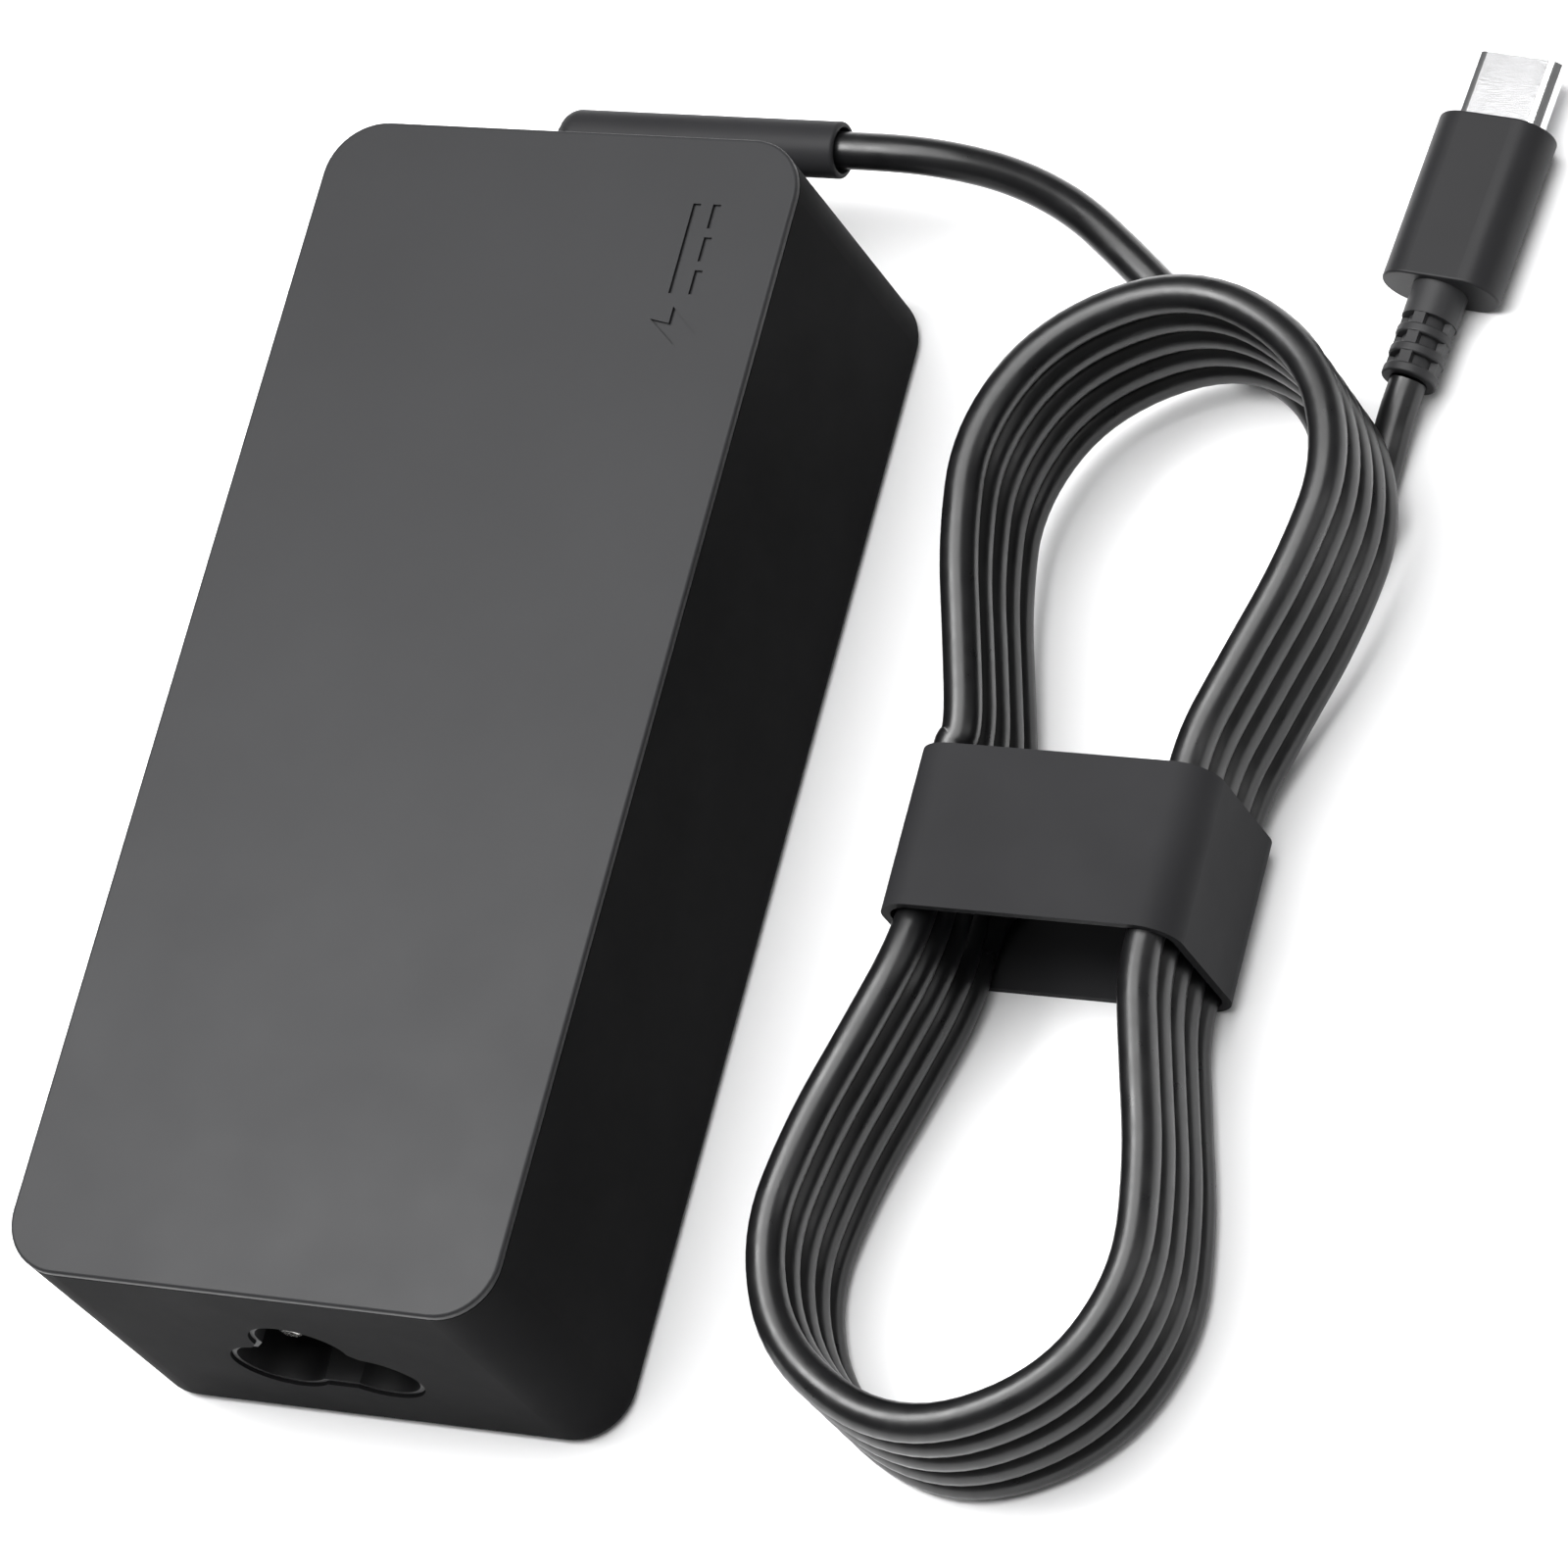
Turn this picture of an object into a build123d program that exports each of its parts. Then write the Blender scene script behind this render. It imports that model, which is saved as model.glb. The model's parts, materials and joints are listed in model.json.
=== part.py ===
from build123d import *
import math
import os

# Laptop power adapter: a slim brick with a mains inlet at the -Y end, an output boot at the +Y
# end, and an output cord that is wound into a tied hank beside the brick and ends in a small
# oval connector.  Millimetres.  Origin: centre of the brick's underside.  +X points from the
# brick to the hank, +Y from the mains inlet to the output boot, +Z up.

# ---------------------------------------------------------------- driving dimensions
CASE_L = 108.0            # along Y
CASE_W = 46.0             # along X
CASE_H = 29.5             # along Z
CORNER_R = 5.2            # upright corners
WALL = 2.0                # wall of the tub
LID_EDGE = 0.7            # height of the lid's edge that shows above the seam
LID_T = 1.5               # thickness of the lid
LIP_H = 3.0               # depth of the lid's lip inside the tub
SEAM = 0.15               # width and depth of the groove between lid and tub
FIT = 0.1                 # clearance between mating plastic pieces
LABEL_W = 36.0            # label on the underside
LABEL_L = 70.0
LABEL_R = 1.8
LABEL_SUNK = 0.25         # depth of the label's recess

INLET_Z = 13.8            # centre height of the mains inlet
LOBE_R = 3.9              # radius of each lobe of the inlet
LOBE_X = 4.5              # half distance between the two lower lobes
LOBE_LOW = -2.3           # lower lobes below the inlet's centre
LOBE_HIGH = 3.4           # upper lobe above the inlet's centre
LOBE_NOTCH = 1.2          # depth of the notches between the lobes
INLET_DEPTH = 13.0        # depth of the recess
INLET_BLOCK = (24.0, 17.0, 18.6)  # width, depth, height of the inlet moulding
PIN_D = 2.6
PIN_LENGTH = 10.0         # free length of a mains pin inside the recess
PIN_TAIL = 8.6            # length of a pin behind the recess
INLET_PINS = ((-LOBE_X, LOBE_LOW), (LOBE_X, LOBE_LOW), (0.0, LOBE_HIGH))

BOOT_Z = 14.7             # height of the output boot's axis
BOOT_D = 5.0              # diameter of the bar
BOOT_OUT = 6.9            # distance of the bar's axis from the end face
MOUTH_DEPTH = 1.6         # how deep the cord is seated in the bar's mouth
MOUTH_RIM = 0.9           # depth of the wider part of the mouth
MOUTH_WALL = 0.45         # wall round the wider part of the mouth
BOOT_X0 = -9.4            # closed end of the bar
BOOT_X1 = 18.2            # mouth of the bar
BOOT_STEM_X1 = 4.0        # the stem joins bar and case from BOOT_X0 to here
BOOT_FLANGE_T = 1.2       # thickness of the boot's flange inside the case

CORD_D = 3.3              # outer diameter of the output cord
CORD_R = CORD_D / 2
TURNS = 5                 # turns of cord in the hank
HANK_C = (54.7, -2.65)    # centre of the hank
STRAP_W = 14.7            # width of the strap, along Y
STRAP_T = 0.8             # thickness of the strap
STRAP_X = (41.15, 68.3)   # outer faces of the strap
STRAP_R = 3.4             # outer corner radius of the strap
LEAD_LIFT = CORD_D        # the hank's far end rests on the two leads that pass under it
LEAN = (0.45, -0.5)       # sideways lean of the raised end, for each mm that it is raised

PLUG_AT = (71.3, 56.1, 3.0)   # middle of the rear face of the plug's overmould
PLUG_ANGLE = 84.0             # direction of the plug, from +X towards +Y
PLUG_W = 10.8                 # width of the overmould
PLUG_T = 6.0                  # thickness of the overmould
PLUG_L = 15.8                 # length of the overmould
PLUG_EDGE_R = 0.2             # rounding of the overmould's end edges
SHELL_POCKET = 7.0            # rear of the pocket that holds the shell, from the overmould's rear face
SHELL_START = 7.4             # rear of the shell and of the contact carrier, from the same face
SHELL_W = 8.25                # metal shell, outer width
SHELL_T = 2.4                 # metal shell, outer thickness
SHELL_OUT = 6.65              # free length of the shell
SHELL_WALL = 0.15
RELIEF_D = 4.9                # strain relief, outer diameter
RELIEF_L = 8.7                # strain relief, length

BOARD_Z = 4.6             # underside of the main board
BOARD_T = 1.6
BOARD_TOP = BOARD_Z + BOARD_T
INNER_W = CASE_W - 2 * WALL
INNER_L = CASE_L - 2 * WALL

FLOOR = (Align.CENTER, Align.CENTER, Align.MIN)


# ---------------------------------------------------------------- helpers
def block(size, at, radius=0.0):
    """Box on its underside's centre, with rounded upright edges."""
    solid = Pos(*at) * Box(*size, align=FLOOR)
    if radius:
        solid = fillet(solid.edges().filter_by(Axis.Z), radius)
    return solid


def upright(radius, height, at):
    """Upright cylinder on the centre of its underside."""
    return Pos(*at) * Cylinder(radius, height, align=FLOOR)


def rod(radius, start, end):
    """Cylinder from one point to another."""
    line = Edge.make_line(start, end)
    return sweep(Plane(origin=start, z_dir=line % 0) * Circle(radius), path=line)


def bent_rod(radius, points, bend):
    """Round wire through points, its corners bent to one radius."""
    path = FilletPolyline(*points, radius=bend)
    return sweep(Plane(origin=path @ 0, z_dir=path % 0) * Circle(radius), path=path)


def rounded_slab(width, length, height, radius, z):
    """Upright prism with rounded corners about the origin."""
    return Pos(0, 0, z) * extrude(RectangleRounded(width, length, radius), height)


def save(name, *solids):
    """Write one node."""
    shape = solids[0] if len(solids) == 1 else Compound(children=list(solids))
    shape.label = name
    export_step(shape, f"parts/{name}.step")


# ---------------------------------------------------------------- case
def lobes(radius):
    """Outline of the cloverleaf inlet, in the plane of the inlet's centre."""
    shape = offset(Polygon(*INLET_PINS, align=None), radius - LOBE_NOTCH)
    for x, z in INLET_PINS:
        shape += Pos(x, z) * Circle(radius)
    return shape


def inlet_plane(y):
    """Sketch plane at the inlet, X to the right and Z up, normal towards -Y."""
    return Plane(origin=(0, y, INLET_Z), x_dir=(1, 0, 0), z_dir=(0, -1, 0))


def boot_slot(grow):
    """Cut-out in the end wall for the neck of the output boot."""
    width = BOOT_STEM_X1 - BOOT_X0 - 2 + 2 * grow
    height = BOOT_D - 1 + 2 * grow
    middle = (BOOT_X0 + BOOT_STEM_X1) / 2
    return Pos(middle, CASE_L / 2 - WALL / 2, BOOT_Z) * Box(width, WALL + 2, height)


def bottom_case():
    rim = CASE_H - LID_EDGE
    tub = rounded_slab(CASE_W, CASE_L, rim, CORNER_R, 0)
    tub = fillet(tub.faces().sort_by(Axis.Z)[0].edges(), 1.3)
    hollow = rounded_slab(INNER_W, INNER_L, rim, CORNER_R - WALL, WALL)
    tub -= hollow
    groove = rounded_slab(CASE_W + 2, CASE_L + 2, SEAM, CORNER_R, rim - SEAM)
    groove -= rounded_slab(CASE_W - 2 * SEAM, CASE_L - 2 * SEAM, SEAM, CORNER_R - SEAM, rim - SEAM)
    tub -= groove
    tub -= extrude(RectangleRounded(LABEL_W + 0.4, LABEL_L + 0.4, LABEL_R + 0.2), LABEL_SUNK)
    tub -= extrude(inlet_plane(-CASE_L / 2 + WALL + 1) * lobes(LOBE_R + 0.5), WALL + 2)
    tub -= boot_slot(FIT)
    for x in (-1, 1):
        for y in (-46.0, -24.0, 0.0, 24.0, 46.0):
            tub += block((2.0, 4.0, BOARD_Z - WALL), (x * (INNER_W / 2 - 1.0), y, WALL))
    return tub


def debossed_mark():
    """Shallow generic mark: a flash and a direct-current sign, reading along the long edge."""
    depth = 0.3
    stroke = 0.75
    flash = Polyline((-4.4, 2.35), (-6.7, -0.45), (-5.1, -0.45), (-5.6, -2.35), (-3.1, 0.5), (-4.7, 0.5),
                     close=True)
    mark = make_face(flash)
    mark += Pos(2.4, 0.95) * Rectangle(8.6, stroke)
    for x in (-0.75, 2.4, 5.55):
        mark += Pos(x, -0.95) * Rectangle(2.3, stroke)
    plane = Plane(origin=(15.0, 40.9, CASE_H), x_dir=(0, 1, 0), z_dir=(0, 0, 1))
    return extrude(plane * mark, -depth)


def top_cover():
    lid = rounded_slab(CASE_W, CASE_L, LID_EDGE, CORNER_R, CASE_H - LID_EDGE)
    lid = fillet(lid.faces().sort_by(Axis.Z)[-1].edges(), 0.3)
    lip_w = INNER_W - 2 * FIT
    lip_l = INNER_L - 2 * FIT
    lip_r = CORNER_R - WALL - FIT
    lip_z = CASE_H - LID_EDGE - LIP_H
    lip = rounded_slab(lip_w, lip_l, LIP_H, lip_r, lip_z)
    lip -= rounded_slab(lip_w - 2.4, lip_l - 2.4, LID_EDGE + LIP_H - LID_T, lip_r - 1.2, lip_z)
    return lid + lip - debossed_mark()


def rating_label():
    """Plain film in the shallow recess of the underside."""
    return Pos(0, 0, 0.05) * extrude(RectangleRounded(LABEL_W, LABEL_L, LABEL_R), LABEL_SUNK - 0.05)


# ---------------------------------------------------------------- mains inlet
def inlet_housing():
    width, depth, height = INLET_BLOCK
    front = -CASE_L / 2 + WALL + 0.05
    shape = Pos(0, front + depth / 2, INLET_Z) * Box(width, depth, height)
    shape = fillet(shape.edges().filter_by(Axis.Y), 1.0)
    nose = extrude(inlet_plane(front) * lobes(LOBE_R + 0.4), WALL - 0.25)
    shape += nose
    recess_back = -CASE_L / 2 + INLET_DEPTH
    shape -= extrude(inlet_plane(recess_back) * lobes(LOBE_R), INLET_DEPTH)
    for x, z in INLET_PINS:
        hole = Pos(x, recess_back, INLET_Z + z) * Rot(90, 0, 0) * Cylinder(PIN_D / 2, 2 * depth)
        shape -= hole
    return shape


def inlet_pins():
    recess_back = -CASE_L / 2 + INLET_DEPTH
    pins = []
    for x, z in INLET_PINS:
        tip = (x, recess_back - PIN_LENGTH, INLET_Z + z)
        tail = (x, recess_back + PIN_TAIL, INLET_Z + z)
        pin = rod(PIN_D / 2, tip, tail)
        pin = fillet(pin.edges().sort_by(Axis.Y)[0], 0.7)
        pins.append(pin)
    return pins


def inlet_wires():
    """Short stiff leads from the pin tails down to the board."""
    wire_y = -CASE_L / 2 + INLET_DEPTH + PIN_TAIL - 0.8
    wires = []
    for x, z in INLET_PINS:
        length = INLET_Z + z - PIN_D / 2 - BOARD_TOP
        wires.append(upright(0.6, length, (x, wire_y, BOARD_TOP)))
    return wires


# ---------------------------------------------------------------- boards and film
def main_board():
    board = block((41.0, 100.0, BOARD_T), (0, 1.0, BOARD_Z), 1.0)
    width, depth, height = INLET_BLOCK
    notch_y = -CASE_L / 2 + WALL + depth / 2
    sunk = Pos(0, notch_y, INLET_Z) * Box(width + 0.4, depth + 0.4, height + 0.4)
    return board - sunk


def output_board():
    """Upright board for the output switch and the port controller."""
    return block((1.2, 18.0, 16.0), (-13.6, 39.5, BOARD_TOP))


def control_board():
    """Upright daughter board of the primary controller."""
    return block((1.2, 18.0, 12.0), (18.6, -22.0, BOARD_TOP))


def insulation_sheet():
    """Thin film between the board and the case's floor."""
    return block((37.4, 98.0, 0.3), (0, 1.0, WALL + 0.15))


def shield_plate():
    """Thin metal heat spreader under the lid, with turned-down edges."""
    z = CASE_H - LID_T - 1.1
    plate = block((38.0, 74.0, 0.4), (0, 10.0, z), 1.5)
    for x in (-1, 1):
        plate += Pos(x * 18.8, 10.0, z - 8.0) * Box(0.4, 70.0, 8.2, align=FLOOR)
    return plate


def thermal_pad():
    x, y, z = TRAFO_AT
    top = z + CORE_FOOT + CORE_H
    return block((18.0, 22.0, CASE_H - LID_T - 1.15 - top), (x, y, top + 0.02))


# ---------------------------------------------------------------- mains input parts
FUSE_X = -15.5
FUSE_Y = -30.0


def fuse():
    body = upright(4.2, 7.5, (FUSE_X, FUSE_Y, BOARD_TOP + 0.5))
    body = fillet(body.edges().sort_by(Axis.Z)[-1], 0.5)
    for dx in (-2.5, 2.5):
        body += upright(0.3, 0.5, (FUSE_X + dx, FUSE_Y, BOARD_TOP))
    return body


def disc_part(x, y, radius, thick):
    """Upright disc-shaped component on two straight legs."""
    z = BOARD_TOP + 1.5 + radius
    disc = Pos(x, y, z) * Rot(90, 0, 0) * Cylinder(radius, thick)
    disc = fillet(disc.edges(), thick * 0.35)
    for dx in (-0.55, 0.55):
        disc += upright(0.35, 1.5 + radius * 0.4, (x + dx * radius, y, BOARD_TOP))
    return disc


def x_capacitor():
    body = block((7.0, 15.0, 12.0), (-15.8, -16.5, BOARD_TOP), 0.6)
    return fillet(body.faces().sort_by(Axis.Z)[-1].edges(), 0.5)


CHOKE_AT = (-0.5, -22.3, BOARD_TOP + 9.6)
CHOKE_R = 6.9             # middle radius of the ring


def choke_core():
    ring = Rot(90, 0, 0) * (Cylinder(CHOKE_R + 1.9, 5.0) - Cylinder(CHOKE_R - 1.9, 5.0))
    ring = fillet(ring.edges(), 0.4)
    return Pos(*CHOKE_AT) * ring


def choke_windings():
    """Two groups of wire turns round the ring, one on each side."""
    turns = []
    for side in (0, 180):
        for k in range(9):
            angle = side + (k - 4) * 14.0
            loop = Rectangle(6.6, 7.0) - Rectangle(4.9 + 0.2, 5.0 + 0.2)
            ring = extrude(loop, 0.45, both=True)
            ring = Rot(0, -angle, 0) * Pos(CHOKE_R, 0, 0) * ring
            turns.append(Pos(*CHOKE_AT) * ring)
    return turns


def bridge_rectifier():
    x, y = 12.8, -17.0
    body = block((3.6, 19.0, 14.0), (x, y, BOARD_TOP + 2.6), 0.4)
    for k in range(4):
        body += Pos(x, y + (k - 1.5) * 4.6, BOARD_TOP) * Box(0.7, 0.9, 2.7, align=FLOOR)
    return body


BULK_AT = (-11.6, 12.3, BOARD_TOP + 8.1)


def bulk_capacitor():
    """Large electrolytic can lying along the board, with a crimp groove near its base."""
    radius = 8.0
    can = Rot(90, 0, 0) * Cylinder(radius, 31.0)
    can = fillet(can.edges(), 0.9)
    groove = Rot(90, 0, 0) * (Cylinder(radius + 1, 1.2) - Cylinder(radius - 0.6, 1.2))
    can -= Pos(0, 12.2, 0) * groove
    can += Pos(0, 16.2, 2.5) * Rot(90, 0, 0) * Cylinder(0.4, 2.0)
    can += Pos(0, 16.2, -2.5) * Rot(90, 0, 0) * Cylinder(0.4, 2.0)
    return Pos(*BULK_AT) * can


def primary_transistor():
    x, y = 16.6, 31.5
    body = block((4.4, 10.0, 9.0), (x, y, BOARD_TOP + 3.0), 0.3)
    for dy in (-2.54, 0, 2.54):
        body += Pos(x, y + dy, BOARD_TOP) * Box(0.6, 0.9, 3.1, align=FLOOR)
    return body


def primary_heatsink():
    """Upright aluminium plate with a foot, behind the transistor."""
    plate = block((1.4, 22.0, 18.0), (13.6, 36.0, BOARD_TOP))
    plate += block((5.0, 3.0, 1.4), (11.4, 45.0, BOARD_TOP + 16.6))
    return plate


# ---------------------------------------------------------------- transformer
TRAFO_AT = (7.6, 10.5, BOARD_TOP)
TRAFO_W = 20.0
TRAFO_L = 25.0
CORE_FOOT = 2.2           # height of the ferrite's underside above the board
CORE_H = 15.0
CORE_LEG = 3.0            # thickness of the core's outer legs
CORE_BACK = 4.8           # thickness of the core's back
TRAFO_MID = CORE_FOOT + CORE_H / 2


def transformer_core():
    """Two E-shaped ferrite halves that meet across the middle."""
    x, y, z = TRAFO_AT
    halves = []
    for side in (-1, 1):
        length = TRAFO_L / 2 - 0.02
        half = block((TRAFO_W, length, CORE_H), (x, y + side * TRAFO_L / 4, z + CORE_FOOT))
        window_y = y + side * (TRAFO_L / 4 - CORE_BACK)
        window = block((TRAFO_W - 2 * CORE_LEG, length, CORE_H), (x, window_y, z + CORE_FOOT))
        window -= Pos(x, y, z + TRAFO_MID) * Rot(90, 0, 0) * Cylinder(4.0, TRAFO_L)
        halves.append(half - window)
    return halves


def transformer_bobbin():
    """Winding former: a tube with two flanges and two pin rails."""
    x, y, z = TRAFO_AT
    mid = z + TRAFO_MID
    length = TRAFO_L - 2 * CORE_BACK - 0.4
    tube = Pos(x, y, mid) * Rot(90, 0, 0) * (Cylinder(5.0, length) - Cylinder(4.1, length))
    for side in (-1, 1):
        flange = Pos(0, side * (length / 2 - 0.5), 0) * Rot(90, 0, 0) * Cylinder(6.9, 1.0)
        flange -= Rot(90, 0, 0) * Cylinder(4.1, length)
        tube += Pos(x, y, mid) * flange
        rail_y = y + side * (TRAFO_L / 2 - 2.0)
        tube += block((TRAFO_W - 1.0, 3.4, 2.0), (x, rail_y, z))
        tube += block((3.0, 8.0, 2.0), (x, y + side * 8.0, z))
        tube += block((3.0, 1.0, CORE_FOOT + 1.2), (x, y + side * (length / 2 - 0.5), z))
    return tube


def transformer_windings():
    x, y, z = TRAFO_AT
    length = TRAFO_L - 2 * CORE_BACK - 2.6
    coil = Cylinder(6.8, length) - Cylinder(5.05, length)
    return Pos(x, y, z + TRAFO_MID) * Rot(90, 0, 0) * coil


def transformer_tape():
    """Band of tape round the outside of the core."""
    x, y, z = TRAFO_AT
    outer = Box(TRAFO_W + 0.7, TRAFO_L + 0.7, 7.0)
    inner = Box(TRAFO_W + 0.1, TRAFO_L + 0.1, 7.0)
    return Pos(x, y, z + TRAFO_MID) * (outer - inner)


# ---------------------------------------------------------------- output side
def output_capacitors():
    cans = []
    for x, y in ((-8.6, 35.7), (0.0, 35.7), (-8.6, 44.2), (0.0, 44.2)):
        can = upright(4.0, 12.0, (x, y, BOARD_TOP))
        cans.append(fillet(can.edges().sort_by(Axis.Z)[-1], 0.6))
    return cans


def output_choke():
    core = upright(4.2, 9.0, (8.5, 38.0, BOARD_TOP))
    return fillet(core.edges().sort_by(Axis.Z)[-1], 0.8)


RECTIFIER_X = -17.3
RECTIFIER_Y = 44.0


def sync_rectifier():
    return block((5.0, 6.0, 1.0), (RECTIFIER_X, RECTIFIER_Y, BOARD_TOP))


def secondary_heatsink():
    """Finned block on the synchronous rectifier."""
    base = block((5.6, 8.0, 1.2), (RECTIFIER_X, RECTIFIER_Y, BOARD_TOP + 1.0))
    for k in range(4):
        base += block((0.7, 8.0, 7.0), (RECTIFIER_X + (k - 1.5) * 1.6, RECTIFIER_Y, BOARD_TOP + 2.2))
    return base


def chip(x, y, size, legs):
    """Flat chip with gull legs along both long sides, lying on a board."""
    width, length, height = size
    body = block(size, (x, y, BOARD_TOP + 0.15), 0.2)
    step = length / legs
    for k in range(legs):
        leg_y = y - length / 2 + step * (k + 0.5)
        body += Pos(x, leg_y, BOARD_TOP) * Box(width + 1.6, step * 0.4, 0.4, align=FLOOR)
    return body


def output_wires():
    """Two insulated leads from the board up to the boot's flange."""
    wires = []
    for x in (-4.2, -1.2):
        end_y = CASE_L / 2 - WALL - BOOT_FLANGE_T - 0.08
        points = [(x, end_y - 1.64, BOARD_TOP), (x, end_y - 1.64, BOOT_Z), (x, end_y, BOOT_Z)]
        wires.append(bent_rod(0.75, points, 1.2))
    return wires


# ---------------------------------------------------------------- output boot
def cord_boot():
    """Round bar along the end face, joined to the case by a flat stem with an inner flange."""
    face = CASE_L / 2
    axis_y = face + BOOT_OUT
    length = BOOT_X1 - BOOT_X0
    bar = Pos(BOOT_X0, axis_y, BOOT_Z) * Rot(0, 90, 0) * Cylinder(BOOT_D / 2, length, align=FLOOR)
    closed = bar.edges().filter_by(GeomType.CIRCLE).sort_by(Axis.X)[0]
    bar = fillet(closed, 2.0)
    mouth = bar.edges().filter_by(GeomType.CIRCLE).sort_by(Axis.X)[-1]
    bar = fillet(mouth, 0.3)
    stem_w = BOOT_STEM_X1 - BOOT_X0
    stem = Pos(BOOT_X0 + stem_w / 2, face + BOOT_OUT / 2, BOOT_Z) * Box(stem_w, BOOT_OUT, BOOT_D - 0.6)
    stem = fillet(stem.edges().filter_by(Axis.Y), 1.4)
    neck_w = stem_w - 2
    neck = Pos(BOOT_X0 + stem_w / 2, face - WALL / 2, BOOT_Z) * Box(neck_w, WALL + 0.2, BOOT_D - 1)
    flange_y = face - WALL - 0.05 - BOOT_FLANGE_T / 2
    flange = Pos(BOOT_X0 + stem_w / 2, flange_y, BOOT_Z) * Box(neck_w + 3, BOOT_FLANGE_T, BOOT_D + 2)
    boot = bar + stem + neck + flange
    mouth_hole = Pos(BOOT_X1 - MOUTH_DEPTH - 0.1, axis_y, BOOT_Z) * Rot(0, 90, 0)
    boot -= mouth_hole * Cylinder(CORD_R + 0.15, 4.0, align=FLOOR)
    rim = Pos(BOOT_X1 - MOUTH_RIM, axis_y, BOOT_Z) * Rot(0, 90, 0)
    boot -= rim * Cylinder(BOOT_D / 2 - MOUTH_WALL, MOUTH_RIM + 1, align=FLOOR)
    return boot


# ---------------------------------------------------------------- output cord
BOOT_AXIS_Y = CASE_L / 2 + BOOT_OUT

# from the boot's mouth, down to the surface and to the side of the hank
BOOT_ROUTE = [
    (BOOT_X1 - MOUTH_DEPTH, BOOT_AXIS_Y, BOOT_Z),
    (22.5, 61.0, 14.6),
    (27.5, 61.4, 13.0),
    (32.5, 61.7, 10.0),
    (37.5, 60.6, 6.6),
    (42.0, 57.6, 3.9),
    (46.5, 54.2, 2.3),
    (51.0, 51.2, CORD_R),
    (55.2, 48.8, CORD_R),
]

# from the side of the hank to the plug's strain relief
PLUG_ROUTE = [
    (69.5, 40.3, CORD_R),
    (69.6, 42.8, 2.0),
    (69.95, 45.2, 2.6),
    (70.4, 47.5, 3.0),
]

# a quarter of one turn of the hank: distance across from the middle, distance along
QUARTER = [
    (11.4, 0.0), (10.15, 9.2), (12.65, 18.0), (15.35, 27.0), (16.7, 37.1), (11.9, 47.0), (0.0, 52.5),
]


def turn_outline():
    """Control points of one turn, once round, anticlockwise from the waist on the +X side."""
    first = QUARTER
    second = [(-x, y) for x, y in reversed(QUARTER[:-1])]
    third = [(-x, -y) for x, y in QUARTER[1:]]
    fourth = [(x, -y) for x, y in reversed(QUARTER[1:-1])]
    return first + second + third + fourth


def lift(along):
    """How far the turns are raised, at a distance along the hank from its middle."""
    if along <= -30:
        return 0.0
    if along <= 8:
        return STRAP_T * min(1.0, (along + 30) / 18)
    return STRAP_T + (LEAD_LIFT - STRAP_T) * min(1.0, (along - 8) / 25)


def hank_point(across, along):
    """Plan position of a point of the hank, with the lean of its raised end."""
    raised = lift(along) - STRAP_T
    return (HANK_C[0] + across + LEAN[0] * raised, HANK_C[1] + along + LEAN[1] * raised)


def smooth_turn(offset_by, steps=3):
    """Points along one turn, smoothed from its control points and moved outwards."""
    outline = turn_outline()
    count = len(outline)
    points = []
    for i in range(count):
        a = Vector(*hank_point(*outline[i - 1]))
        b = Vector(*hank_point(*outline[i]))
        c = Vector(*hank_point(*outline[(i + 1) % count]))
        for k in range(steps):
            t = k / steps
            point = a * (0.5 * (1 - t) ** 2) + b * (0.5 + t - t * t) + c * (0.5 * t * t)
            slope = ((b - a) * (1 - t) + (c - b) * t).normalized()
            points.append(point + Vector(slope.Y, -slope.X) * offset_by)
    return points


def cord_hank():
    """Closed solid of the outer shape of the wound turns, with the leads tucked inside it."""
    half = CORD_R - 0.03
    outer = Face(Wire([Spline(*smooth_turn(half), periodic=True)]))
    inner = Face(Wire([Spline(*smooth_turn(-half), periodic=True)]))
    full = TURNS * CORD_D + LEAD_LIFT
    ring = extrude(outer, full) - extrude(inner, full)
    cy = HANK_C[1]
    top = TURNS * CORD_D
    side = Polyline(
        (cy - 60, 0), (cy - 30, 0), (cy - 12, STRAP_T), (cy + 9, STRAP_T), (cy + 20, 0), (cy + 60, 0),
        (cy + 60, top + LEAD_LIFT), (cy + 32, top + LEAD_LIFT), (cy + 8, top + STRAP_T - 0.02),
        (cy - 12, top + STRAP_T - 0.02), (cy - 30, top), (cy - 60, top), close=True)
    profile = make_face(Plane.YZ * side)
    slab = extrude(profile, 110.0)
    hank = (ring & slab) - cord_strap()
    return hank.solids().sort_by(SortBy.VOLUME)[-1]


def route_radii(name, points):
    """Bend radius at each inner point: 0.45 of the shorter run, over the tangent of half the turn."""
    radii = []
    for before, here, after in zip(points, points[1:], points[2:]):
        run_in = Vector(*here) - Vector(*before)
        run_out = Vector(*after) - Vector(*here)
        half_turn = math.radians(run_in.get_angle(run_out)) / 2
        radii.append(0.45 * min(run_in.length, run_out.length) / math.tan(half_turn))
    print(name, "bend radii mm:", [round(radius, 1) for radius in radii])
    return radii


def cord_tube(name, points):
    """Free stretch of cord: straight runs joined by tangent arcs."""
    path = FilletPolyline(*points, radius=route_radii(name, points))
    tube = sweep(Plane(origin=path @ 0, z_dir=path % 0) * Circle(CORD_R), path=path)
    expected = math.pi * CORD_R ** 2 * path.length
    print(name, "length mm:", round(path.length, 1), "volume ratio:", round(tube.volume / expected, 4))
    return tube


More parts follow.
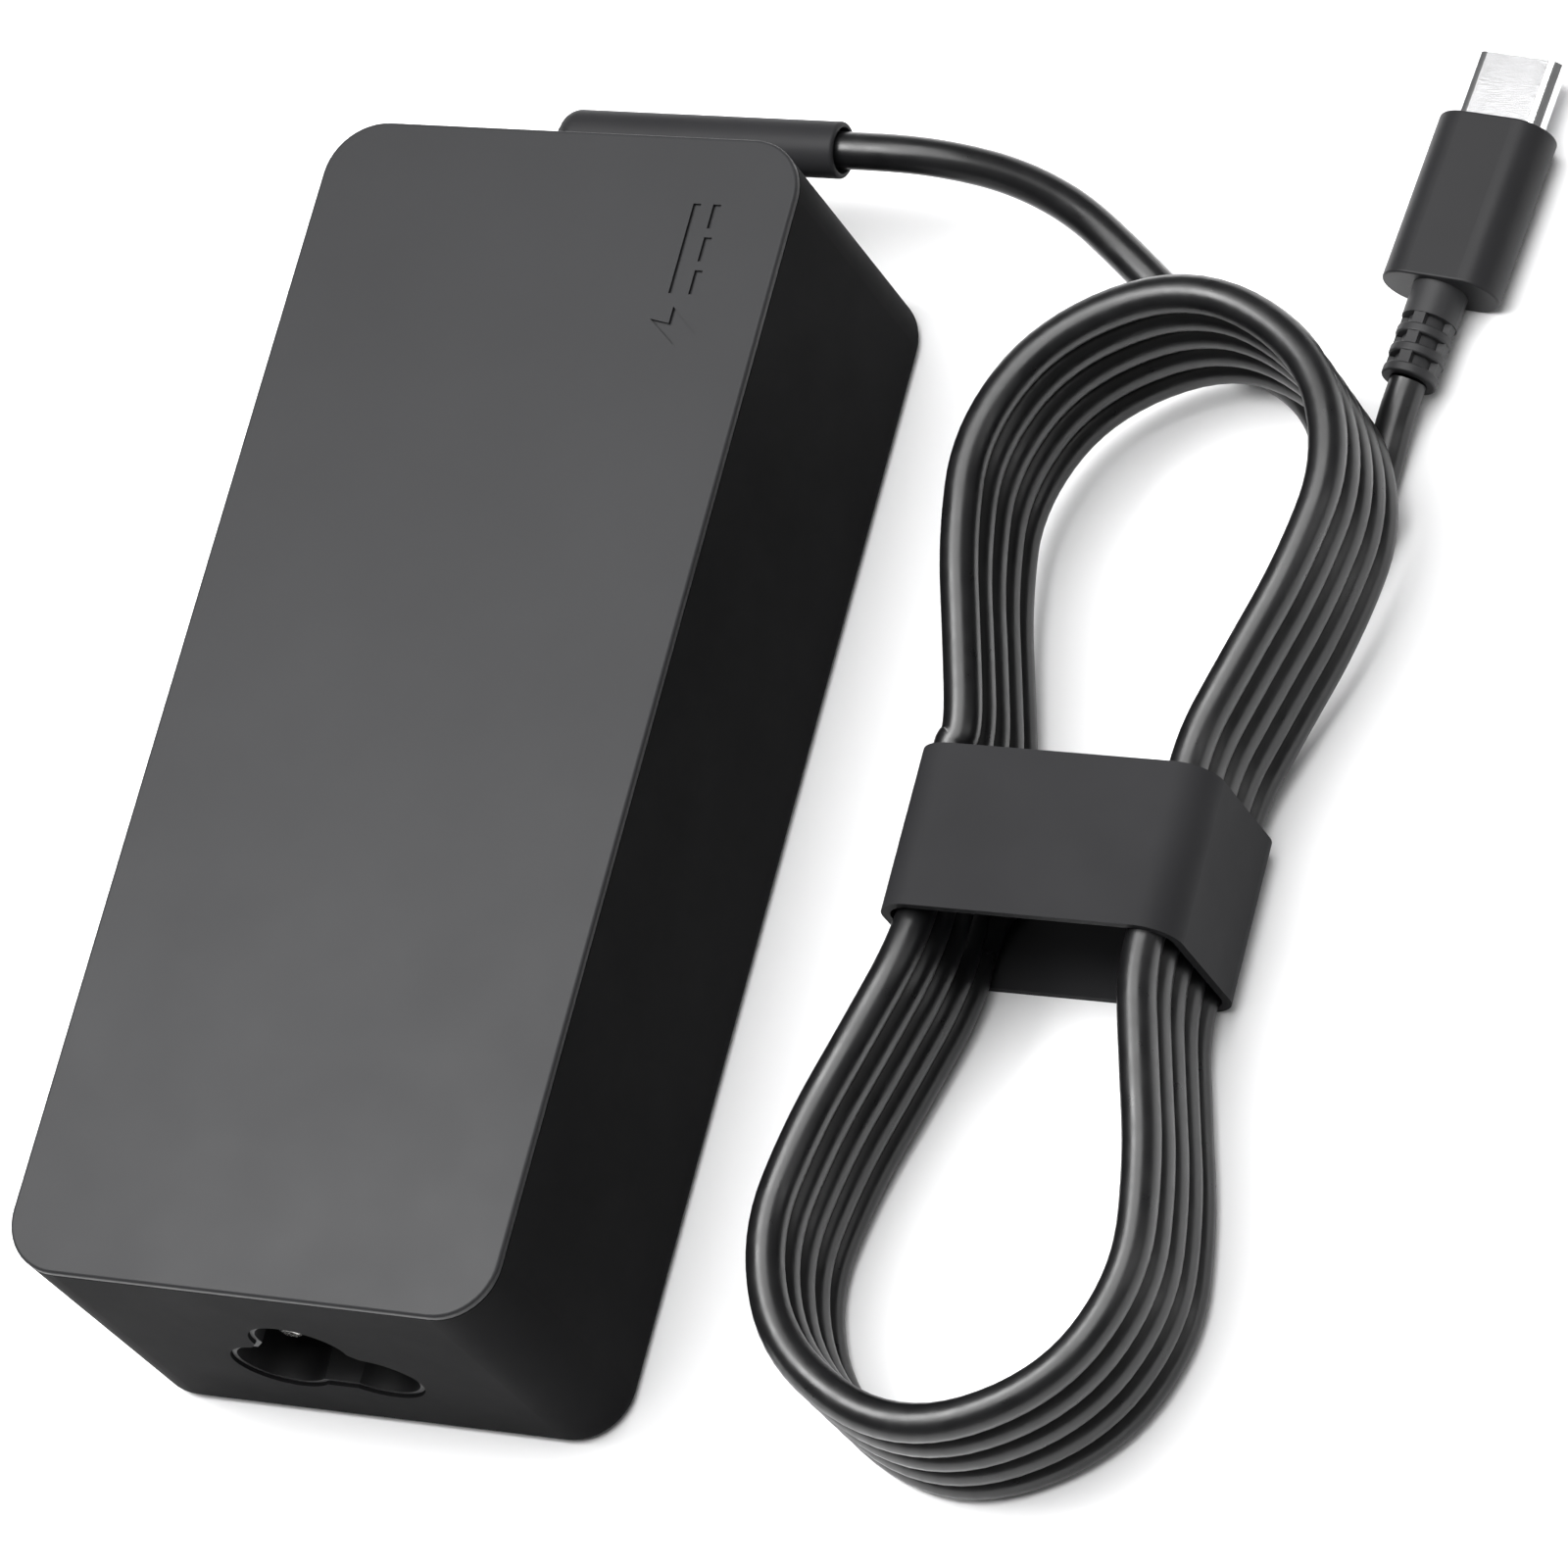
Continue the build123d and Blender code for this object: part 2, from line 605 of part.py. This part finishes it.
def cord_strap():
    """Band wrapped round the waist of the hank."""
    width = STRAP_X[1] - STRAP_X[0]
    height = TURNS * CORD_D + 2 * STRAP_T
    centre = ((STRAP_X[0] + STRAP_X[1]) / 2, HANK_C[1] + STRAP_W / 2, height / 2)
    plane = Plane(origin=centre, x_dir=(1, 0, 0), z_dir=(0, -1, 0))
    band = RectangleRounded(width, height, STRAP_R)
    band -= RectangleRounded(width - 2 * STRAP_T, height - 2 * STRAP_T, STRAP_R - STRAP_T)
    return extrude(plane * band, STRAP_W)


# ---------------------------------------------------------------- plug
PLUG = Location(Plane(
    origin=PLUG_AT,
    x_dir=(math.sin(math.radians(PLUG_ANGLE)), -math.cos(math.radians(PLUG_ANGLE)), 0),
    z_dir=(math.cos(math.radians(PLUG_ANGLE)), math.sin(math.radians(PLUG_ANGLE)), 0)))


def oval(width, thick):
    """Flat oval with full round ends, in the plug's cross-section."""
    return SlotOverall(width, thick)


def plug_body():
    body = extrude(oval(PLUG_W, PLUG_T), PLUG_L)
    body = fillet(body.faces().sort_by(Axis.Z)[0].edges(), PLUG_EDGE_R)
    body = fillet(body.faces().sort_by(Axis.Z)[-1].edges(), PLUG_EDGE_R)
    body -= Pos(0, 0, SHELL_POCKET) * extrude(oval(SHELL_W, SHELL_T), PLUG_L)
    body -= Pos(0, 0, 3.0) * Box(7.4, 2.2, 4.1, align=FLOOR)
    return PLUG * body


def plug_shell():
    length = PLUG_L + SHELL_OUT - SHELL_START
    shell = Pos(0, 0, SHELL_START) * extrude(oval(SHELL_W, SHELL_T), length)
    inner = oval(SHELL_W - 2 * SHELL_WALL, SHELL_T - 2 * SHELL_WALL)
    shell -= Pos(0, 0, SHELL_START) * extrude(inner, length)
    return PLUG * shell


def plug_insert():
    """Plastic contact carrier lining the shell, open at the front."""
    outer = oval(SHELL_W - 2 * SHELL_WALL - 0.04, SHELL_T - 2 * SHELL_WALL - 0.04)
    front = PLUG_L + SHELL_OUT - 0.5
    insert = Pos(0, 0, SHELL_START) * extrude(outer, front - SHELL_START)
    insert -= Pos(0, 0, front - 5.6) * extrude(Rectangle(6.9, 1.05), 6.0)
    return PLUG * insert


def plug_contacts():
    """Twelve contact strips on the top wall and twelve on the bottom wall of the opening."""
    front = PLUG_L + SHELL_OUT - 0.5
    strips = []
    for side in (-1, 1):
        for k in range(12):
            x = (k - 5.5) * 0.5
            strip = Pos(x, side * 0.455, front - 5.0) * Box(0.24, 0.12, 4.2, align=FLOOR)
            strips.append(PLUG * strip)
    return strips


def plug_board():
    return PLUG * (Pos(0, 0, 3.2) * Box(7.0, 0.8, 3.8, align=FLOOR))


def plug_strain_relief():
    """Flexible sleeve: smooth neck, three rows of slots with rings between them, and an end collar."""
    radius = RELIEF_D / 2
    slot = 1.0            # gap between two rings
    width = 0.87          # width of a ring
    collar = 0.9          # width of the end collar
    depth = 0.7           # depth of the slots
    rounding = 0.2        # rounding of the rings and the collar
    web_width = 1.05      # width of the four webs between the slots
    web_thick = 1.0
    web_inset = 0.6       # middle of a web, in from the outside
    mouth = 1.2           # how deep the cord is seated in the collar
    neck = collar + 3 * slot + 2 * width
    sleeve = extrude(Circle(radius - depth), RELIEF_L)
    sleeve += Pos(0, 0, neck) * extrude(Circle(radius), RELIEF_L - neck)
    sleeve += fillet(extrude(Circle(radius), collar).edges(), rounding)
    for k in range(2):
        ring = Pos(0, 0, collar + slot + k * (width + slot)) * extrude(Circle(radius), width)
        sleeve += fillet(ring.edges(), rounding)
    for k in range(4):
        web = Rot(0, 0, 90 * k) * Pos(radius - web_inset, 0, collar / 2)
        sleeve += web * Box(web_thick, web_width, neck, align=FLOOR)
    sleeve -= extrude(Circle(CORD_R + 0.02), mouth)
    return PLUG * (Pos(0, 0, -RELIEF_L) * sleeve)


def main():
    os.makedirs("parts", exist_ok=True)
    save("top_cover", top_cover())
    save("bottom_case", bottom_case())
    save("rating_label", rating_label())
    save("inlet_housing", inlet_housing())
    save("inlet_pins", *inlet_pins())
    save("inlet_wires", *inlet_wires())
    save("main_board", main_board())
    save("output_board", output_board())
    save("control_board", control_board())
    save("insulation_sheet", insulation_sheet())
    save("shield_plate", shield_plate())
    save("thermal_pad", thermal_pad())
    save("fuse", fuse())
    save("varistor", disc_part(12.2, -29.9, 5.0, 3.6))
    save("thermistor", disc_part(-6.6, -29.2, 3.6, 3.4))
    save("x_capacitor", x_capacitor())
    save("y_capacitor", disc_part(-14.0, -6.4, 3.4, 3.0))
    save("choke_core", choke_core())
    save("choke_windings", *choke_windings())
    save("bridge_rectifier", bridge_rectifier())
    save("bulk_capacitor", bulk_capacitor())
    save("primary_transistor", primary_transistor())
    save("primary_heatsink", primary_heatsink())
    save("transformer_core", *transformer_core())
    save("transformer_bobbin", transformer_bobbin())
    save("transformer_windings", transformer_windings())
    save("transformer_tape", transformer_tape())
    save("output_capacitors", *output_capacitors())
    save("output_choke", output_choke())
    save("sync_rectifier", sync_rectifier())
    save("secondary_heatsink", secondary_heatsink())
    save("optocoupler", chip(-5.0, -11.0, (5.0, 4.6, 3.2), 2))
    save("controller_chip", chip(5.0, -11.5, (4.0, 5.0, 1.6), 4))
    save("output_wires", *output_wires())
    save("cord_boot", cord_boot())
    hank = cord_hank()
    save("cord_hank", hank)
    boot_cord = cord_tube("boot_cord", BOOT_ROUTE) - hank
    plug_cord = cord_tube("plug_cord", PLUG_ROUTE) - hank
    save("boot_cord", boot_cord)
    save("plug_cord", plug_cord)
    save("cord_strap", cord_strap())
    save("plug_body", plug_body())
    save("plug_shell", plug_shell())
    save("plug_insert", plug_insert())
    save("plug_contacts", *plug_contacts())
    save("plug_board", plug_board())
    save("plug_strain_relief", plug_strain_relief())


main()
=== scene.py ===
import json
import math

import bpy
from mathutils import Matrix, Vector

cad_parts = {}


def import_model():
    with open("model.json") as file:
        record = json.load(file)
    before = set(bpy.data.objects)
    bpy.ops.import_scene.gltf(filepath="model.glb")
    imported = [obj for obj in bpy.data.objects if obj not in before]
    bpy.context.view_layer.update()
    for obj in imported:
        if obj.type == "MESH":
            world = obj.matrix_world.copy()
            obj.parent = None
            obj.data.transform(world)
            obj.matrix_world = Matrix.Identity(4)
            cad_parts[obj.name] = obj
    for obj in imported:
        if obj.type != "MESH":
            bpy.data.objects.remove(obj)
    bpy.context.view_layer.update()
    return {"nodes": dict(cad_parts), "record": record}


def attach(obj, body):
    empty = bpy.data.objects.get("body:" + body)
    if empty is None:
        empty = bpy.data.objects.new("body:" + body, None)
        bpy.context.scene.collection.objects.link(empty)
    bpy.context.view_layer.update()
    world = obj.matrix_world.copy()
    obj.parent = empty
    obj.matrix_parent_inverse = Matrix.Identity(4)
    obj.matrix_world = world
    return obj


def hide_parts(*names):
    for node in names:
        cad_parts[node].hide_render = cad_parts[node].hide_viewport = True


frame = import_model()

nodes = frame["nodes"]
MM = 0.001


# ------------------------------------------------------------------ camera
def photo_camera():
    """The photograph's viewpoint: a long lens, above and to the cord's side of the inlet end."""
    data = bpy.data.cameras.new("camera")
    data.lens = 196.8
    data.sensor_width = 36.0
    data.clip_end = 20.0
    camera = bpy.data.objects.new("camera", data)
    bpy.context.scene.collection.objects.link(camera)
    right = Vector((0.8934, 0.2458, -0.3760))
    down = Vector((0.0756, -0.9074, -0.4134))
    ahead = Vector((-0.4428, 0.3409, -0.8293))
    turn = Matrix((right, -down, -ahead)).transposed().to_4x4()
    camera.matrix_world = Matrix.Translation((0.34738, -0.24409, 0.61126)) @ turn
    bpy.context.scene.camera = camera


photo_camera()

# ------------------------------------------------------------------ the cord's line
CORD_D = 3.3
CORD_R = CORD_D / 2
TURNS = 5
HANK_C = (54.7, -2.65)
STRAP_T = 0.8
LEAN = (0.45, -0.5)
WAIST_STEP = 0.75         # share of the step from one turn to the next that is made at the waist

BOOT_LEAD = [
    (16.6, 60.9, 14.7), (22.5, 61.0, 14.6), (27.5, 61.4, 13.0), (32.5, 61.7, 10.0), (37.5, 60.6, 6.6),
    (42.0, 57.6, 3.9), (46.5, 54.2, 2.3), (51.0, 51.2, CORD_R), (56.0, 49.0, CORD_R), (61.3, 46.2, CORD_R),
    (64.6, 41.5, CORD_R), (65.9, 35.5, CORD_R), (65.5, 28.5, CORD_R), (63.8, 21.5, 1.9),
    (62.4, 16.0, 3.6), (61.9, 11.5, 5.6), (62.2, 8.2, 6.3),
]
PLUG_LEAD = [
    (44.2, -6.5, 2.45), (46.3, -0.5, 2.45), (51.5, 3.2, 2.45), (57.5, 5.0, 2.45), (62.0, 8.6, 2.2),
    (64.3, 14.0, CORD_R), (66.4, 20.5, CORD_R), (68.2, 27.0, CORD_R), (69.3, 34.0, CORD_R),
    (69.5, 40.3, CORD_R), (69.6, 42.8, 2.0), (69.95, 45.2, 2.6), (70.4, 47.5, 3.0),
]
# a quarter of one turn of the hank: distance across from its middle, distance along
QUARTER = [
    (11.4, 0.0), (10.15, 9.2), (12.65, 18.0), (15.35, 27.0), (16.7, 37.1), (11.9, 47.0), (0.0, 52.5),
]


def lift(along):
    """How far the turns are raised: by the strap at the waist, by the two leads at the far end."""
    if along <= -30:
        return 0.0
    if along <= 8:
        return STRAP_T * min(1.0, (along + 30) / 18)
    return STRAP_T + (CORD_D - STRAP_T) * min(1.0, (along - 8) / 25)


def hank_point(across, along, level):
    raised = lift(along)
    lean = raised - STRAP_T
    return (HANK_C[0] + across + LEAN[0] * lean, HANK_C[1] + along + LEAN[1] * lean,
            CORD_R + CORD_D * level + raised)


def turn_outline():
    """One turn, clockwise from the upper left of the waist."""
    up = [(-x, y) for x, y in QUARTER[1:]]
    over = [(x, y) for x, y in reversed(QUARTER[:-1])]
    down = [(x, -y) for x, y in QUARTER[1:]]
    back = [(-x, -y) for x, y in reversed(QUARTER[1:-1])]
    return up + over + down + back


def fold():
    """The lead turns back inside the strap and climbs to the top of the stack."""
    centre = (52.95, 5.6)
    radius = 9.5
    steps = 6
    low = 6.6
    high = CORD_R + CORD_D * (TURNS - 1) + STRAP_T
    points = []
    for k in range(steps + 1):
        angle = -math.pi * k / steps
        points.append((centre[0] + radius * math.cos(angle), centre[1] + radius * math.sin(angle),
                       low + (high - low) * k / steps))
    return points


def cord_route():
    points = list(BOOT_LEAD) + fold()
    for turn in range(TURNS):
        level = TURNS - 1 - turn
        points += [hank_point(x, y, level) for x, y in turn_outline()]
        if turn < TURNS - 1:
            points.append(hank_point(-QUARTER[0][0], 0.0, level - WAIST_STEP))
    return [Vector(p) * MM for p in points + PLUG_LEAD]


def nurbs_cord(name, points, radius, material):
    data = bpy.data.curves.new(name, "CURVE")
    data.dimensions = "3D"
    data.bevel_depth = radius
    data.bevel_resolution = 5
    data.resolution_u = 8
    spline = data.splines.new("NURBS")
    spline.points.add(len(points) - 1)
    for target, point in zip(spline.points, points):
        target.co = (*point, 1.0)
    spline.order_u = 3
    spline.use_endpoint_u = True
    data.use_fill_caps = True
    data.materials.append(material)
    piece = bpy.data.objects.new(name, data)
    bpy.context.scene.collection.objects.link(piece)
    return piece


# ------------------------------------------------------------------ materials
class Nodes:
    """Short names for building a node tree."""

    def __init__(self, name):
        self.material = bpy.data.materials.new(name)
        self.material.use_nodes = True
        self.tree = self.material.node_tree
        self.shader = self.tree.nodes["Principled BSDF"]
        coordinates = self.tree.nodes.new("ShaderNodeTexCoord")
        self.place = coordinates.outputs["Object"]

    def add(self, kind, **settings):
        node = self.tree.nodes.new(kind)
        for key, value in settings.items():
            setattr(node, key, value)
        return node

    def link(self, output, target):
        self.tree.links.new(output, target)

    def noise(self, scale, detail=4.0, stretch=None, rough=0.55):
        """Noise with a size given in features per metre, as a value near 0.5."""
        node = self.add("ShaderNodeTexNoise")
        node.inputs["Scale"].default_value = scale
        node.inputs["Detail"].default_value = detail
        node.inputs["Roughness"].default_value = rough
        place = self.place
        if stretch:
            mapping = self.add("ShaderNodeMapping")
            mapping.inputs["Scale"].default_value = stretch
            self.link(place, mapping.inputs["Vector"])
            place = mapping.outputs["Vector"]
        self.link(place, node.inputs["Vector"])
        return node.outputs["Fac"]

    def spread(self, value, low, high, start=0.3, end=0.7):
        """Map a value near 0.5 to a range."""
        node = self.add("ShaderNodeMapRange")
        node.inputs["From Min"].default_value = start
        node.inputs["From Max"].default_value = end
        node.inputs["To Min"].default_value = low
        node.inputs["To Max"].default_value = high
        self.link(value, node.inputs["Value"])
        return node.outputs["Result"]

    def mix(self, factor, first, second):
        node = self.add("ShaderNodeMix", data_type="RGBA")
        self.link(factor, node.inputs["Factor"])
        node.inputs["A"].default_value = (*first, 1.0)
        node.inputs["B"].default_value = (*second, 1.0)
        return node.outputs["Result"]

    def bump(self, height, strength, distance, below=None):
        node = self.add("ShaderNodeBump")
        node.inputs["Strength"].default_value = strength
        node.inputs["Distance"].default_value = distance
        self.link(height, node.inputs["Height"])
        if below is not None:
            self.link(below, node.inputs["Normal"])
        return node.outputs["Normal"]

    def set(self, name, value):
        socket = self.shader.inputs[name]
        if isinstance(value, bpy.types.NodeSocket):
            self.link(value, socket)
        elif isinstance(value, (tuple, list)):
            socket.default_value = (*value, 1.0)
        else:
            socket.default_value = value


def grained_plastic(name, colour, rough, gloss, grain=0.28, depth=0.012, vary=0.12):
    """Moulded plastic with a fine spark-eroded grain, faint mottling and a few rubbed places."""
    n = Nodes(name)
    low = tuple(c * (1 - vary) for c in colour)
    high = tuple(c * (1 + vary) for c in colour)
    n.set("Base Color", n.mix(n.spread(n.noise(55.0, 3.0), 0, 1), low, high))
    fine = n.noise(1000.0 / grain, 2.0)
    rubbed = n.noise(90.0, 5.0, rough=0.65)
    n.set("Roughness", n.spread(rubbed, rough - 0.03, rough + 0.035))
    n.set("Specular IOR Level", gloss)
    soft = n.bump(n.noise(9.0, 2.0), 0.03, 0.0004)
    n.set("Normal", n.bump(fine, 0.35, depth * MM, soft))
    return n.material


def jacket(name, colour, rough, gloss):
    """Extruded cord jacket: smooth, slightly mottled, with faint waviness."""
    n = Nodes(name)
    low = tuple(c * 0.85 for c in colour)
    high = tuple(c * 1.2 for c in colour)
    n.set("Base Color", n.mix(n.spread(n.noise(240.0, 3.0), 0, 1), low, high))
    n.set("Roughness", n.spread(n.noise(420.0, 4.0), rough - 0.05, rough + 0.07))
    n.set("Specular IOR Level", gloss)
    wavy = n.bump(n.noise(260.0, 2.0), 0.12, 0.00012)
    n.set("Normal", n.bump(n.noise(5200.0, 2.0), 0.22, 0.000008, wavy))
    return n.material


def metal(name, colour, rough, stretch=(1.0, 1.0, 1.0), scale=2600.0):
    """Drawn or rolled metal with fine lines along one direction."""
    n = Nodes(name)
    n.set("Metallic", 1.0)
    low = tuple(c * 0.93 for c in colour)
    n.set("Base Color", n.mix(n.spread(n.noise(300.0, 3.0), 0, 1), low, colour))
    lines = n.noise(scale, 3.0, stretch)
    n.set("Roughness", n.spread(lines, rough * 0.75, rough * 1.3))
    n.set("Normal", n.bump(lines, 0.15, 0.000006))
    return n.material


def plain(name, colour, rough, metallic=0.0, scale=400.0):
    """Small hidden part: mottled colour and a light grain."""
    n = Nodes(name)
    low = tuple(c * 0.85 for c in colour)
    n.set("Base Color", n.mix(n.spread(n.noise(scale, 3.0), 0, 1), low, colour))
    n.set("Metallic", metallic)
    n.set("Roughness", n.spread(n.noise(scale * 2.2, 3.0), rough - 0.06, rough + 0.06))
    n.set("Normal", n.bump(n.noise(scale * 7, 2.0), 0.2, 0.00001))
    return n.material


# lid_plastic and case_plastic stand for one black plastic: the lid's lighter base colour is painted light
# on the top face, and the case's darker base colour is painted shade on the sides.
lid_plastic = grained_plastic("lid_plastic", (0.019, 0.0192, 0.0203), 0.42, 0.15, vary=0.05)
case_plastic = grained_plastic("case_plastic", (0.0068, 0.0068, 0.0072), 0.58, 0.02)
inlet_plastic = grained_plastic("inlet_plastic", (0.006, 0.006, 0.0065), 0.5, 0.25, 0.4)
boot_rubber = grained_plastic("boot_rubber", (0.016, 0.016, 0.0171), 0.52, 0.1, 0.22, 0.01)
strap_plastic = grained_plastic("strap_plastic", (0.018, 0.018, 0.0191), 0.58, 0.06, 0.2, 0.01)
plug_plastic = grained_plastic("plug_plastic", (0.013, 0.013, 0.0139), 0.42, 0.16, 0.25, 0.01)
relief_rubber = grained_plastic("relief_rubber", (0.02, 0.02, 0.021), 0.48, 0.25, 0.22, 0.01)
cord_jacket = jacket("cord_jacket", (0.0045, 0.0045, 0.0049), 0.32, 0.42)
plug_steel = metal("plug_steel", (0.83, 0.83, 0.84), 0.16, (0.3, 6.0, 1.0))
plated_pins = metal("plated_pins", (0.78, 0.77, 0.74), 0.22, (1.0, 0.2, 1.0))

FINISHES = {
    "lid_plastic": lid_plastic,
    "case_plastic": case_plastic,
    "inlet_plastic": inlet_plastic,
    "boot_rubber": boot_rubber,
    "strap_plastic": strap_plastic,
    "plug_plastic": plug_plastic,
    "relief_rubber": relief_rubber,
    "cord_jacket": cord_jacket,
    "plug_steel": plug_steel,
    "plated_pins": plated_pins,
    "label_film": grained_plastic("label_film", (0.03, 0.03, 0.032), 0.42, 0.35, 0.5, 0.004),
    "copper_leads": metal("copper_leads", (0.7, 0.42, 0.28), 0.3),
    "circuit_board": plain("circuit_board", (0.04, 0.17, 0.07), 0.4),
    "clear_film": plain("clear_film", (0.7, 0.7, 0.68), 0.25),
    "spreader_metal": metal("spreader_metal", (0.7, 0.7, 0.71), 0.35, (1.0, 0.1, 1.0)),
    "thermal_pad": plain("thermal_pad", (0.4, 0.42, 0.45), 0.7),
    "fuse_case": plain("fuse_case", (0.04, 0.04, 0.045), 0.45),
    "varistor_coating": plain("varistor_coating", (0.06, 0.16, 0.45), 0.3),
    "thermistor_coating": plain("thermistor_coating", (0.05, 0.2, 0.1), 0.3),
    "film_capacitor_case": plain("film_capacitor_case", (0.65, 0.5, 0.1), 0.45),
    "disc_capacitor_coating": plain("disc_capacitor_coating", (0.1, 0.22, 0.5), 0.3),
    "ferrite": plain("ferrite", (0.05, 0.05, 0.055), 0.7),
    "enamelled_copper": metal("enamelled_copper", (0.55, 0.24, 0.09), 0.3),
    "moulding_compound": plain("moulding_compound", (0.02, 0.02, 0.02), 0.5),
    "capacitor_sleeve": plain("capacitor_sleeve", (0.03, 0.04, 0.07), 0.3),
    "heatsink_aluminium": metal("heatsink_aluminium", (0.6, 0.6, 0.61), 0.4),
    "bobbin_plastic": plain("bobbin_plastic", (0.03, 0.03, 0.03), 0.5),
    "yellow_tape": plain("yellow_tape", (0.75, 0.55, 0.08), 0.35),
    "can_aluminium": metal("can_aluminium", (0.65, 0.65, 0.66), 0.3),
    "wire_jacket": plain("wire_jacket", (0.4, 0.03, 0.02), 0.4),
    "insert_plastic": plain("insert_plastic", (0.02, 0.02, 0.02), 0.5),
    "gold_contacts": metal("gold_contacts", (0.83, 0.62, 0.3), 0.25),
}


def finish_nodes():
    """Give every CAD node the finish of its material slot."""
    for part in frame["record"]["subparts"]:
        obj = nodes[part["node"]]
        finish = FINISHES[part["material_slot"]]
        if not obj.material_slots:
            obj.data.materials.append(finish)
        for slot in obj.material_slots:
            slot.material = finish


finish_nodes()

# ------------------------------------------------------------------ the cord
route = cord_route()
cord = nurbs_cord("output_cord", route, CORD_R * MM, cord_jacket)
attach(cord, "root")
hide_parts("boot_cord", "cord_hank", "plug_cord")


# ------------------------------------------------------------------ floor and light
def floor():
    mesh = bpy.data.meshes.new("floor")
    half = 3.0
    mesh.from_pydata([(-half, -half, 0), (half, -half, 0), (half, half, 0), (-half, half, 0)], [],
                     [(0, 1, 2, 3)])
    piece = bpy.data.objects.new("floor", mesh)
    piece.location.z = -0.00005
    bpy.context.scene.collection.objects.link(piece)
    n = Nodes("floor_paint")
    n.set("Base Color", n.mix(n.spread(n.noise(6.0, 2.0), 0, 1), (0.86, 0.86, 0.865), (0.88, 0.88, 0.885)))
    n.set("Roughness", 0.85)
    n.set("Specular IOR Level", 0.1)
    mesh.materials.append(n.material)


def area_light(name, at, towards, size, power):
    data = bpy.data.lights.new(name, "AREA")
    data.shape = "RECTANGLE"
    data.size, data.size_y = size
    data.energy = power
    light = bpy.data.objects.new(name, data)
    light.location = at
    light.rotation_euler = (Vector(towards) - Vector(at)).to_track_quat("-Z", "Y").to_euler()
    bpy.context.scene.collection.objects.link(light)


def world(level):
    scene_world = bpy.data.worlds.new("studio")
    scene_world.use_nodes = True
    background = scene_world.node_tree.nodes["Background"]
    background.inputs["Color"].default_value = (1, 1, 1, 1)
    background.inputs["Strength"].default_value = level
    bpy.context.scene.world = scene_world


floor()
world(0.16)
area_light("overhead", (0.0, 0.07, 0.9), (0.03, 0.0, 0.0), (0.9, 0.9), 16.5)
area_light("sheen", (-0.19, 0.0, 0.46), (0.0, -0.05, 0.03), (0.22, 0.22), 2.4)
area_light("side", (0.8, 0.1, 0.46), (0.05, 0.0, 0.01), (0.2, 0.7), 0.9)
area_light("shell_card", (-0.17, 0.262, 0.46), (0.072, 0.076, 0.003), (0.16, 0.16), 0.042)
bpy.context.scene.view_settings.view_transform = "Standard"
